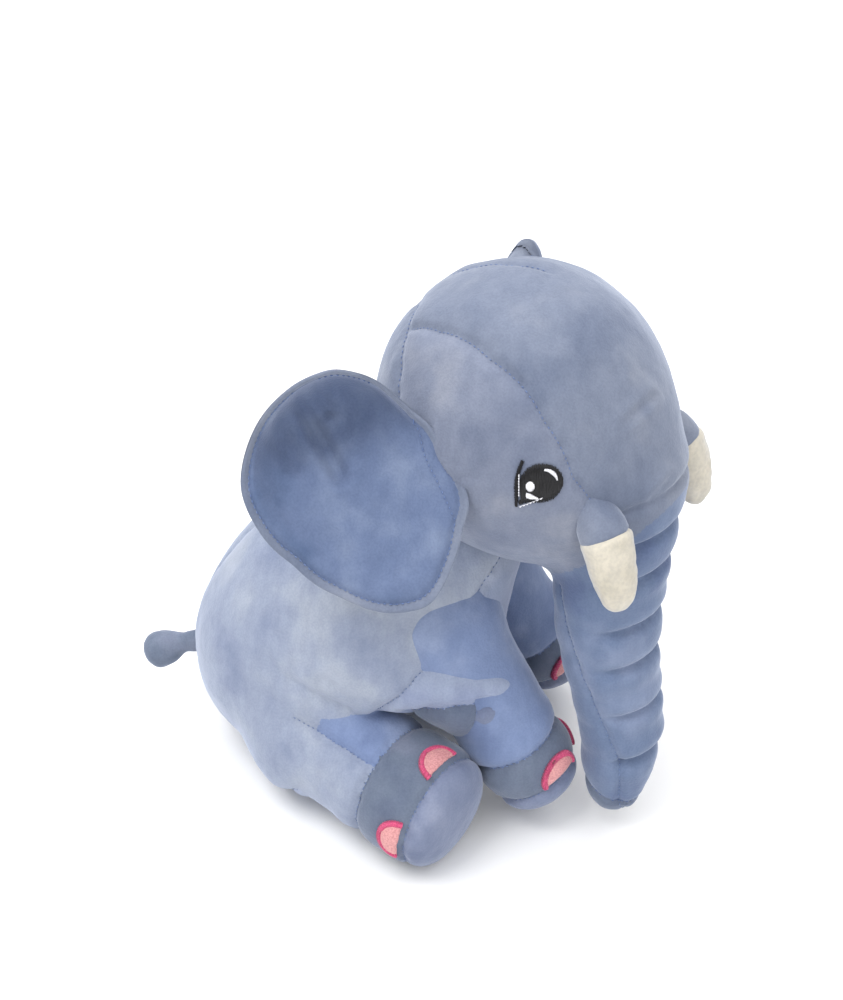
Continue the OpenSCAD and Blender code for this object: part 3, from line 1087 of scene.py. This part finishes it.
def build_front_legs():
    seams = [
        Seam(front_cap_edge, depth=2.3, width=2.8, puff=1.5),
        Seam(front_sole_edge, depth=2.2, width=2.6, puff=1.3),
        Seam(lambda p: to_leg(p, FRONT_LEG)[:, 0], depth=1.4, where=inseam_mask, split=False),
    ]
    for side in SIDES:
        skin = Skin(front_leg_field, (-112, -205, -4), (4, -40, 190), 2.0, seams,
                    mirror=side == "left", seed=21 if side == "right" else 31,
                    creases=FRONT_CREASES if side == "right" else (), lump=0.9)
        flip = 1 if side == "right" else -1
        start = from_leg([[0, 0, 22]], FRONT_LEG)[0] * (flip, 1, 1)
        end = from_leg([[0, 0, 62]], FRONT_LEG)[0] * (flip, 1, 1)
        body = f"front_leg_{side}"
        hold = ("torso", body, start, end)
        cap, sole = skin.sign(0), skin.sign(1)
        outside = torso_field(quad_centres(skin)) > -8
        panel(skin, (cap < 0) & outside, f"front_leg_cloth_{side}", LEG, hold,
              [f"front_leg_skin_{side}", f"front_leg_filling_{side}"])
        panel(skin, (cap > 0) & (sole < 0), f"front_cap_cloth_{side}", CAP, body,
              [f"front_foot_cap_{side}"])
        panel(skin, sole > 0, f"front_sole_cloth_{side}", SOLE, body, [f"front_sole_{side}"])
        sew(skin, [0, 1], f"front_foot_stitches_{side}", body)
        sew(skin, [2], f"front_inseam_{side}", hold)
        build_nails(skin, FRONT_LEG, "front", side, body)


# ---------- head and trunk ----------

CHEEK_TURNS = np.radians([-70, -45, -25, 6, 42, 84, 115, 136, 170])
CHEEK_X = [44, 46, 50, 64, 65, 59, 48, 38, 34]
SEAM_Z = [-250, -234, -206, -176, -150, -114, -72, -45]
SEAM_SHARE = [-0.6, -0.5, -0.4, 0.0, 0.15, 0.5, 0.78, 0.92]


def cheek_edge(p):
    """Above zero on a cheek, below zero on the crown."""
    turn = np.arctan2(p[:, 2], -p[:, 1])
    return np.abs(p[:, 0]) - np.interp(turn, CHEEK_TURNS, CHEEK_X)


def back_edge(p):
    return p[:, 1] - 56 + 0.32 * (np.abs(p[:, 0]) - 38)


def trunk_edge(p):
    """Below zero on the trunk, above zero on the head."""
    return ((p[:, 2] + 25) + 0.95 * (p[:, 1] + 104)) / 1.38


def trunk_middle(p):
    z = -p[:, 2]
    down = -np.array(TRUNK_Z, float)
    return np.interp(z, down, TRUNK_Y), np.interp(z, down, TRUNK_R)


def trunk_side_edge(p):
    """Above zero behind the trunk's side seams."""
    y, r = trunk_middle(p)
    share = np.interp(p[:, 2], SEAM_Z, SEAM_SHARE)
    return p[:, 1] - y - share * r


def tip_edge(p):
    return -(p[:, 2] + 239) + 0.25 * (p[:, 1] + 90)


def not_trunk(p):
    return smooth(trunk_edge(p), 0, 10)


def cheek_mask(p):
    return not_trunk(p) * (1 - smooth(p[:, 1], 52, 60)) * smooth(p[:, 2], -44, -34)


def trunk_side_mask(p):
    return (1 - smooth(p[:, 2], -66, -58)) * (1 - smooth(trunk_edge(p), -12, -4))


def low_trunk(p):
    return 1 - smooth(p[:, 2], -200, -190)


def crown_mask(p):
    return smooth(p[:, 2], 62, 70) * smooth(p[:, 1], -14, -8) * (1 - smooth(p[:, 1], 48, 56))


def back_mask(p):
    return smooth(p[:, 2], -60, -40)


def tuck_push(p):
    """Sewn tucks across the front of the trunk, with stuffing swelling between."""
    y, r = trunk_middle(p)
    forward = (y - p[:, 1]) / r
    front = smooth(forward, -0.15, 0.65) * (1 - smooth(np.abs(p[:, 0] + 14), 30, 46))
    out = np.zeros(len(p))
    for k, z in enumerate(TUCKS):
        d = p[:, 2] - z - 0.22 * ((y - p[:, 1]) - r)
        fade = 0.55 if k == 0 else 1.0
        out -= fade * 4.4 * np.exp(-(d / 3.0) ** 2) * front
        out += fade * 1.1 * np.exp(-((np.abs(d) - 10) / 6) ** 2) * front
    return out


HEAD_CREASES = [
    ([(-32, -74, 28), (-20, -79, 32), (-6, -81, 33)], 1.6, 2.6),
    ([(-30, -98, -14), (-16, -102, -9)], 1.4, 2.4),
]


def build_head():
    seams = [
        Seam(cheek_edge, depth=1.9, width=2.4, puff=1.1, where=cheek_mask),
        Seam(back_edge, depth=1.7, width=2.4, puff=1.0, where=back_mask),
        Seam(trunk_edge, depth=0.0, puff=0.0, pucker=0.0),
        Seam(trunk_side_edge, depth=1.7, width=2.2, puff=0.6, where=trunk_side_mask),
        Seam(tip_edge, depth=1.4, width=2.0, puff=0.3, where=low_trunk),
        Seam(lambda p: p[:, 0] - 8, depth=1.3, width=2.0, puff=0.7, where=crown_mask,
             split=False),
    ]
    skin = Skin(head_field, (-98, -122, -272), (98, 98, 98), 2.0, seams, place=from_head,
                seed=41, creases=HEAD_CREASES, lump=0.85, extra=tuck_push)
    cheek, back, trunk, side_of, tip = (skin.sign(k) for k in range(5))
    middle = quad_centres(skin)
    on_head = trunk > 0
    face = on_head & (back < 0)
    panel(skin, face & (cheek < 0), "crown_cloth", HEAD, "head",
          ["head_crown_panel", "head_filling"])
    panel(skin, on_head & (back > 0), "head_back_cloth", HEAD, "head", ["head_back_panel"])
    for side in SIDES:
        here = (middle[:, 0] < 0) == (side == "right")
        panel(skin, face & (cheek > 0) & here, f"cheek_cloth_{side}", CHEEK, "head",
              [f"cheek_panel_{side}"])
    start, end = from_head([[-6, -70, -57.3], [-8, -99, -88]])
    hold = ("head", "trunk", start, end)
    panel(skin, ~on_head & (tip < 0) & (side_of < 0), "trunk_front_cloth", TRUNK, hold,
          ["trunk_front_panel", "trunk_filling"])
    panel(skin, ~on_head & (tip < 0) & (side_of > 0), "trunk_back_cloth", TRUNK, hold,
          ["trunk_back_panel"])
    panel(skin, ~on_head & (tip > 0), "trunk_tip_cloth", CAP, "trunk", ["trunk_tip_cap"])
    sew(skin, [0, 1, 5], "head_stitches", "head")
    sew(skin, [3, 4], "trunk_stitches", hold)
    for side in SIDES:
        build_eye(skin, side)
    return skin


# ---------- eyes ----------

EYE_R = 11.4
EYE_OUTLINE = [(EYE_R * math.cos(math.radians(a)), EYE_R * math.sin(math.radians(a)))
               for a in range(-100, 211, 10)] + [(-10.5, -8.5), (-14.5, -14.0), (-7.5, -11.4)]
LASH = [(-9.2, 14.6), (-12.4, 9.8), (-14.0, 4.0), (-14.2, -2.0), (-12.6, -8.0), (-14.6, -14.6)]
EYE_FORWARD = unit([0.18, -0.97, 0.1])


def eye_axes():
    """Directions towards the face and upwards, along the cheek at the eye."""
    out = unit(EYE_AT)
    forward = EYE_FORWARD - out * (EYE_FORWARD @ out)
    forward = unit(forward)
    return forward, np.cross(forward, out)


def eye_points(flat, side):
    forward, up = eye_axes()
    if up[2] < 0:
        up = -up
    p = EYE_AT + np.outer(flat[:, 0], forward) + np.outer(flat[:, 1], up)
    if side == "left":
        p = p * MIRROR
    return from_head(p)


def spans(outline, x):
    """Lowest and highest y of an outline at one x."""
    ys = []
    for (x0, y0), (x1, y1) in zip(outline, outline[1:] + outline[:1]):
        if (x0 - x) * (x1 - x) < 0:
            ys.append(y0 + (x - x0) / (x1 - x0) * (y1 - y0))
    return (min(ys), max(ys)) if len(ys) > 1 else None


def strand_patch(skin, side, lines, lift):
    strands = []
    for line in lines:
        placed, normals = skin.put(eye_points(np.array(line), side), 0)
        rise = lift * np.sin(np.pi * np.linspace(0.12, 0.88, len(line))) ** 0.5
        strands.append(placed + normals * rise[:, None])
    return strands


def build_eye(skin, side):
    rng = np.random.default_rng(7)
    lines = []
    for layer in range(2):
        for x in np.arange(-12.6, 13.2, 0.5):
            x += rng.uniform(-0.15, 0.15)
            span = spans(EYE_OUTLINE, x)
            if span is None or span[1] - span[0] < 1.2:
                continue
            low, high = span[0] + rng.uniform(-0.7, 0.3), span[1] + rng.uniform(-0.3, 0.8)
            ys = np.linspace(low, high, 7)
            lines.append([(x + 0.05 * (y - low) * (layer - 0.5), y) for y in ys])
    lash = resampled(np.array([(x, y, 0.0) for x, y in LASH]), 0.62)[:, :2]
    for k, (x, y) in enumerate(lash):
        wide = 0.7 + 0.45 * math.sin(math.pi * (k + 0.5) / len(lash)) + rng.uniform(-0.15, 0.25)
        lines.append([(x + wide * s, y - 0.5 * s) for s in (-1, -0.3, 0.3, 1)])
    points, faces = tubes(strand_patch(skin, side, lines, 1.0), 0.4, sides=5)
    eye = add_mesh(f"eye_thread_{side}", points, faces, BLACK)
    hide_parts(f"eye_patch_{side}")
    attach(eye, "head")
    glints = []
    for x in np.arange(-8.0, -3.9, 0.5):
        tall = 3.2 * math.sqrt(max(0.05, 1 - ((x + 6.0) / 2.3) ** 2))
        glints.append([(x, -0.9 + t * tall) for t in np.linspace(-1, 1, 5)])
    for x in np.arange(-8.2, -1.8, 0.5):
        middle = -6.4 - 0.34 * (x + 8.2)
        tall = 1.5 * smooth(-1.6 - x, 0, 5) + 0.35
        glints.append([(x, middle + t * tall) for t in np.linspace(-1, 1, 4)])
    for a in np.radians(np.arange(12, 80, 4.0)):
        wide = 1.05 * math.sin((a - 0.15) / 1.3 * math.pi) ** 0.7 if 0.2 < a < 1.4 else 0.3
        r = 8.6 + wide * np.linspace(-1, 1, 4)
        glints.append([(t * math.cos(a), t * math.sin(a)) for t in r])
    glints += [[(-11.7 - 0.1 * k, 6 - 1.7 * k + t) for t in (-0.8, 0, 0.8)] for k in range(8)]
    glints += [[(-12.0 + 1.9 * k + t, -13.9 + 0.9 * k + 0.4 * t) for t in (-0.9, 0, 0.9)]
               for k in range(7)]
    points, faces = tubes(strand_patch(skin, side, glints, 1.9), 0.42, sides=5)
    glint = add_mesh(f"eye_glint_{side}", points, faces, WHITE)
    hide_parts(f"eye_glints_{side}")
    attach(glint, "head")


# ---------- ears ----------

EAR_CENTRE = np.array([22.0, 42.0])
EAR_RIM = [(-2, -6), (-18, -2), (-36, 6), (-52, 25), (-54, 48), (-44, 75), (-28, 92), (-7, 104),
           (15, 105), (44, 96), (72, 81), (92, 62), (99, 40), (86, 19), (70, 4), (60, -6),
           (30, -8)]
EAR_CUP = 170.0
EAR_HALF = 6.5
EAR_HEM = 5.0
EAR_GRID = 84
EAR_DROOP = {"right": 0.0, "left": 0.66}
EAR_SAG = {"right": 0.0, "left": 0.55}


class Surface:
    """A finished net that other pieces can be laid on."""

    put = Skin.put
    finish = Skin.finish

    def __init__(self, points, quads):
        self.points, self.quads = points, quads
        self.finish()


def ear_radius(angle):
    rim = np.array(EAR_RIM, float) - EAR_CENTRE
    turn, reach = np.arctan2(rim[:, 1], rim[:, 0]), np.linalg.norm(rim, axis=1)
    order = np.argsort(turn)
    dense = np.radians(np.arange(-180, 180, 1.0))
    values = np.interp(dense, turn[order], reach[order], period=2 * math.pi)
    kernel = np.exp(-(np.arange(-12, 13) / 4.5) ** 2)
    kernel /= kernel.sum()
    values = np.convolve(np.concatenate([values[-12:], values, values[:12]]), kernel, "valid")
    return np.interp(angle, dense, values, period=2 * math.pi)


def ear_axes():
    down = unit(EAR_FOOT - EAR_TOP)
    flare = np.array([-math.sin(EAR_FLARE), math.cos(EAR_FLARE), 0])
    out = unit(flare - down * (flare @ down))
    return down, out, np.cross(out, down)


EAR_CREASES = [
    ([(-34, 52), (-20, 50), (-4, 50), (12, 50)], 4.6, 4.2),
    ([(-40, 40), (-30, 41), (-22, 40)], 3.2, 3.4),
    ([(-30, 66), (-18, 70), (-4, 70)], 2.2, 4.5),
    ([(10, 84), (30, 78), (52, 70)], 1.4, 7.0),
    ([(20, 20), (44, 34), (66, 42)], 1.2, 8.0),
]


EAR_CURL = 12.0


def ear_fold(angle):
    """How much an ear's rim folds forward, from 0 to 1, by direction from its middle."""
    turned = np.abs((angle - math.radians(-172) + math.pi) % (2 * math.pi) - math.pi)
    return np.exp(-(turned / math.radians(62)) ** 2)


def ear_height(flat, front):
    """Height of the ear's cloth over its plane, in front or behind."""
    rel = flat - EAR_CENTRE
    angle, reach = np.arctan2(rel[:, 1], rel[:, 0]), np.linalg.norm(rel, axis=1)
    rim = ear_radius(angle)
    share = np.clip(reach / rim, 0, 1)
    cup = EAR_CUP - np.sqrt(EAR_CUP ** 2 - np.minimum(reach, 110) ** 2)
    lift = 25 * ear_fold(angle) * smooth(share, 0.68, 0.96)
    hollow = 17 * np.exp(-(((flat[:, 0] + 18) / 24) ** 2 + ((flat[:, 1] - 46) / 40) ** 2))
    root = 1 - smooth(flat[:, 1], 0, 22)
    half = EAR_HALF * np.sqrt(np.clip(1 - share ** 4, 0, 1)) * (1 - 0.35 * root)
    inset = (1 - share) * rim
    groove = 1.7 * np.exp(-((inset - EAR_HEM) / 2.2) ** 2)
    puff = 1.4 * np.exp(-((inset - 14) / 7) ** 2)
    p3 = np.column_stack([flat, np.zeros(len(flat))])
    wave = 1.5 * noise(p3, 34, 61) + 0.5 * noise(p3, 13, 62) + 0.15 * noise(p3, 5, 63)
    wave *= smooth(inset, 0, 10)
    if not front:
        return cup + lift - hollow * 0.6 - half - puff + groove - wave
    crease = np.zeros(len(flat))
    for path, depth, width in EAR_CREASES:
        d = path_distance(flat, path)
        crease -= depth * np.exp(-(d / width) ** 2)
        crease += 0.5 * depth * np.exp(-((d - 2 * width) / width) ** 2)
    return cup + lift - hollow + half + puff - groove + wave + crease


def ear_local(flat, front, side):
    """An ear's cloth in the ear's own frame, its upper rim curled over its hollow."""
    rel = flat - EAR_CENTRE
    angle, reach = np.arctan2(rel[:, 1], rel[:, 0]), np.linalg.norm(rel, axis=1)
    share = np.clip(reach / ear_radius(angle), 0, 1)
    curl = EAR_CURL * ear_fold(angle) * smooth(share, 0.76, 1.0)
    inward = -rel / np.maximum(reach, 1e-6)[:, None]
    local = np.column_stack([flat + inward * curl[:, None], ear_height(flat, front)])
    local[:, 2] -= EAR_DROOP[side] * np.maximum(flat[:, 1], 0)
    local[:, 0] += EAR_SAG[side] * np.maximum(flat[:, 1], 0)
    return local


def ear_net(side):
    """Front and back of one ear: points in the head's frame, quads, inset from the rim."""
    count = EAR_GRID + 1
    line = np.sin(np.linspace(-1, 1, count) * math.pi / 2)
    a, b = np.meshgrid(line, line, indexing="ij")
    x, y = a * np.sqrt(1 - b * b / 2), b * np.sqrt(1 - a * a / 2)
    reach = ear_radius(np.arctan2(y, x).ravel())
    flat = EAR_CENTRE + np.stack([x.ravel(), y.ravel()], 1) * reach[:, None]
    inset = (1 - np.clip(np.hypot(x, y).ravel(), 0, 1)) * reach
    ids = np.arange(count * count).reshape(count, count)
    rim = np.zeros((count, count), bool)
    rim[0], rim[-1], rim[:, 0], rim[:, -1] = True, True, True, True
    back = np.full(count * count, -1)
    back[rim.ravel()] = ids.ravel()[rim.ravel()]
    inner = ~rim.ravel()
    back[inner] = count * count + np.arange(inner.sum())
    high, low = ear_local(flat, True, side), ear_local(flat, False, side)
    high[~inner] = (high[~inner] + low[~inner]) / 2
    local = np.concatenate([high, low[inner]])
    down, out, face = ear_axes()
    points = EAR_TOP + local @ np.stack([down, out, face])
    top = np.stack([ids[:-1, :-1], ids[1:, :-1], ids[1:, 1:], ids[:-1, 1:]], -1).reshape(-1, 4)
    under = back[top][:, ::-1]
    quads = np.concatenate([top, under])[:, ::-1]
    return points, quads, inset, len(top)


def ear_seam_line(surface, side):
    """The hem seam round the front of an ear, laid on its finished surface."""
    angle = np.radians(np.arange(-176, 176, 2.0))
    reach = ear_radius(angle) - EAR_HEM
    flat = EAR_CENTRE + np.stack([np.cos(angle), np.sin(angle)], 1) * reach[:, None]
    flat = flat[flat[:, 1] > 2]
    down, out, face = ear_axes()
    local = ear_local(flat, True, side)
    points = EAR_TOP + local @ np.stack([down, out, face])
    if side == "left":
        points = points * MIRROR
    return from_head(points)


def build_ears():
    for side in SIDES:
        points, quads, inset, half = ear_net(side)
        if side == "right":
            surface = Surface(from_head(points), quads)
        else:
            surface = Surface(from_head(points * MIRROR), quads[:, ::-1])
        front = np.arange(len(quads)) < half
        hem = np.zeros(len(quads), bool)
        hem[:half] = inset[quads[:half]].mean(1) < EAR_HEM
        down, out, _ = ear_axes()
        flip = np.ones(3) if side == "right" else MIRROR
        root = EAR_TOP + down * 30
        start, end = from_head([(root - out * 1) * flip, (root + out * 16) * flip])
        hold = ("head", f"ear_{side}", start, end)
        # The front cloth takes the ear colour that has painted shade in it.
        panel(surface, front & ~hem, f"ear_front_cloth_{side}", EAR_BLUE_AND_PAINTED_SHADE, hold,
              [f"ear_front_{side}", f"ear_batting_{side}"])
        panel(surface, ~front | hem, f"ear_back_cloth_{side}", HEAD, hold,
              [f"ear_back_{side}"])
        strands = stitch_strands(surface, ear_seam_line(surface, side))
        made, faces = tubes(strands, 0.4)
        attach(add_mesh(f"ear_stitches_{side}", made, faces, BLUE_THREAD), hold)


# ---------- tusks and tail ----------

def tube_net(line, radii, around=48, squash=None):
    """A tube round a centre line with a closed far end: points and quads."""
    line, radii = np.asarray(line, float), np.asarray(radii, float)
    ahead = np.gradient(line, axis=0)
    ahead /= np.linalg.norm(ahead, axis=1)[:, None]
    side = np.cross(ahead, [0.13, 0.2, 0.97])
    side /= np.linalg.norm(side, axis=1)[:, None]
    up = np.cross(side, ahead)
    a = np.linspace(0, 2 * math.pi, around, endpoint=False)
    rings = (line[:, None] + radii[:, None, None]
             * (np.cos(a)[None, :, None] * side[:, None] + np.sin(a)[None, :, None] * up[:, None]))
    ids = np.arange(len(line) * around).reshape(len(line), around)
    after = np.roll(ids, -1, 1)
    quads = np.stack([ids[:-1], ids[1:], after[1:], after[:-1]], -1).reshape(-1, 4)
    last = ids[-1]
    cap = [(last[k], last[around - 1 - k], last[around - 2 - k], last[k + 1])
           for k in range(around // 2 - 1)]
    return rings.reshape(-1, 3), np.concatenate([quads, np.array(cap)])


def bent_line(stops, count):
    """A smooth line through three or four stops."""
    stops = np.array(stops, float)
    t = np.linspace(0, len(stops) - 1, count)
    fit = [np.polyfit(np.arange(len(stops)), stops[:, k], len(stops) - 1) for k in range(3)]
    return np.stack([np.polyval(c, t) for c in fit], 1)


def outward(points, quads):
    """The same quads, wound so that they face away from the middle."""
    n = mesh_normals(points, quads)
    return quads if ((points - points.mean(0)) * n).sum() > 0 else quads[:, ::-1]


def tube_piece(line, radii, side, name, material, hold, nodes, lump, seed):
    points, quads = tube_net(line, radii)
    quads = outward(points, quads)
    n = mesh_normals(points, quads)
    rough = 0.5 * noise(points, 9, seed) + 0.3 * noise(points, 4, seed + 1)
    points = points + n * (lump * rough)[:, None]
    if side is not None:
        if side == "left":
            points, quads = points * MIRROR, quads[:, ::-1]
        points = from_head(points)
    surface = Surface(points, quads)
    panel(surface, np.ones(len(quads), bool), name, material, hold, nodes, 0.5)
    return surface


def build_tusks():
    for side in SIDES:
        share = np.linspace(0, 1, 40)
        line = bent_line([(-47, -60, -4), (-53, -72, -19), (-56.6, -81, -32)], 40)
        radii = 9.0 + 5.6 * smooth(share, 0.1, 0.85) - 1.6 * smooth(share, 0.9, 1.0)
        tube_piece(line, radii, side, f"tusk_sleeve_cloth_{side}", HEAD, "head",
                   [f"tusk_sleeve_{side}"], 0.9, 71)
        line = bent_line([(-56.0, -79.5, -29), (-59.5, -88, -50), (-60, -93, -75)], 60)
        share = np.linspace(0, 1, 60)
        radii = 15.2 * np.sqrt(np.clip(1 - np.clip(share * 1.01 - 0.01, 0, 1) ** 5, 0.0006, 1))
        radii -= 2.2 * np.exp(-(share / 0.05) ** 2) + 3.4 * share ** 1.3 * (1 - share ** 6)
        radii = np.maximum(radii, 0.5)
        surface = tube_piece(line, radii, side, f"tusk_cloth_{side}", CREAM, "head",
                             [f"tusk_{side}"], 1.3, 77)
        del surface


def build_tail():
    share = np.linspace(0, 1, 56)
    line = bent_line([(0, 70, 66), (0, 92, 61), (0, 119, 47)], 56)
    radii = (8.2 - 1.2 * np.exp(-((share - 0.42) / 0.14) ** 2)
             + 4.4 * smooth(share, 0.45, 0.8))
    radii *= np.sqrt(np.clip(1 - smooth(share, 0.78, 1.0) ** 3, 0.002, 1))
    hold = ("torso", "tail", (0, 80, 64), (0, 96, 59))
    tube_piece(line, radii, None, "tail_cloth", CAP, hold, ["tail_tube", "tail_tuft"],
               1.0, 81)


# ---------- camera, floor and light ----------

def build_stage():
    camera = bpy.data.cameras.new("camera")
    camera.lens = 54.72
    camera.clip_start = 0.05
    rig = bpy.data.objects.new("camera", camera)
    bpy.context.scene.collection.objects.link(rig)
    a, e = math.radians(-81), math.radians(35)
    back = Vector((math.sin(a) * math.cos(e), -math.cos(a) * math.cos(e), math.sin(e)))
    rig.location = Vector((0, -0.075, 0.1997)) + back * 0.95
    rig.rotation_mode = "QUATERNION"
    rig.rotation_quaternion = (-back).to_track_quat("-Z", "Y")
    bpy.context.scene.camera = rig
    bpy.context.scene.view_settings.view_transform = "Standard"

    floor = add_mesh("floor", [(-4000, -4000, 0), (4000, -4000, 0), (4000, 4000, 0),
                               (-4000, 4000, 0)], [(0, 1, 2, 3)], floor_material())
    world = bpy.data.worlds.new("studio")
    world.use_nodes = True
    world.node_tree.nodes["Background"].inputs["Color"].default_value = (1, 1, 1, 1)
    world.node_tree.nodes["Background"].inputs["Strength"].default_value = 0.42
    bpy.context.scene.world = world
    area_light("ceiling", (0.0, 0.0, 3.0), 6.0, 170.0)
    area_light("key", (-0.55, 0.45, 1.5), 0.7, 11.0)
    area_light("fill", (-1.3, -0.9, 0.8), 1.2, 6.0)
    area_light("rim", (0.9, -0.2, 1.2), 1.0, 5.0)


def floor_material():
    material, nodes, links, shader = new_material("floor_paper", 0.9, 0.0, 0.5, 0.1)
    shader.inputs["Base Color"].default_value = (0.92, 0.92, 0.92, 1)
    return material


def area_light(name, place, size, power):
    light = bpy.data.lights.new(name, "AREA")
    light.size, light.energy = size, power
    rig = bpy.data.objects.new(name, light)
    rig.location = place
    rig.rotation_mode = "QUATERNION"
    rig.rotation_quaternion = (Vector((0, -0.08, 0.15)) - rig.location).to_track_quat("-Z", "Y")
    bpy.context.scene.collection.objects.link(rig)


build_stage()
build_body()
build_front_legs()
build_head()
build_ears()
build_tusks()
build_tail()
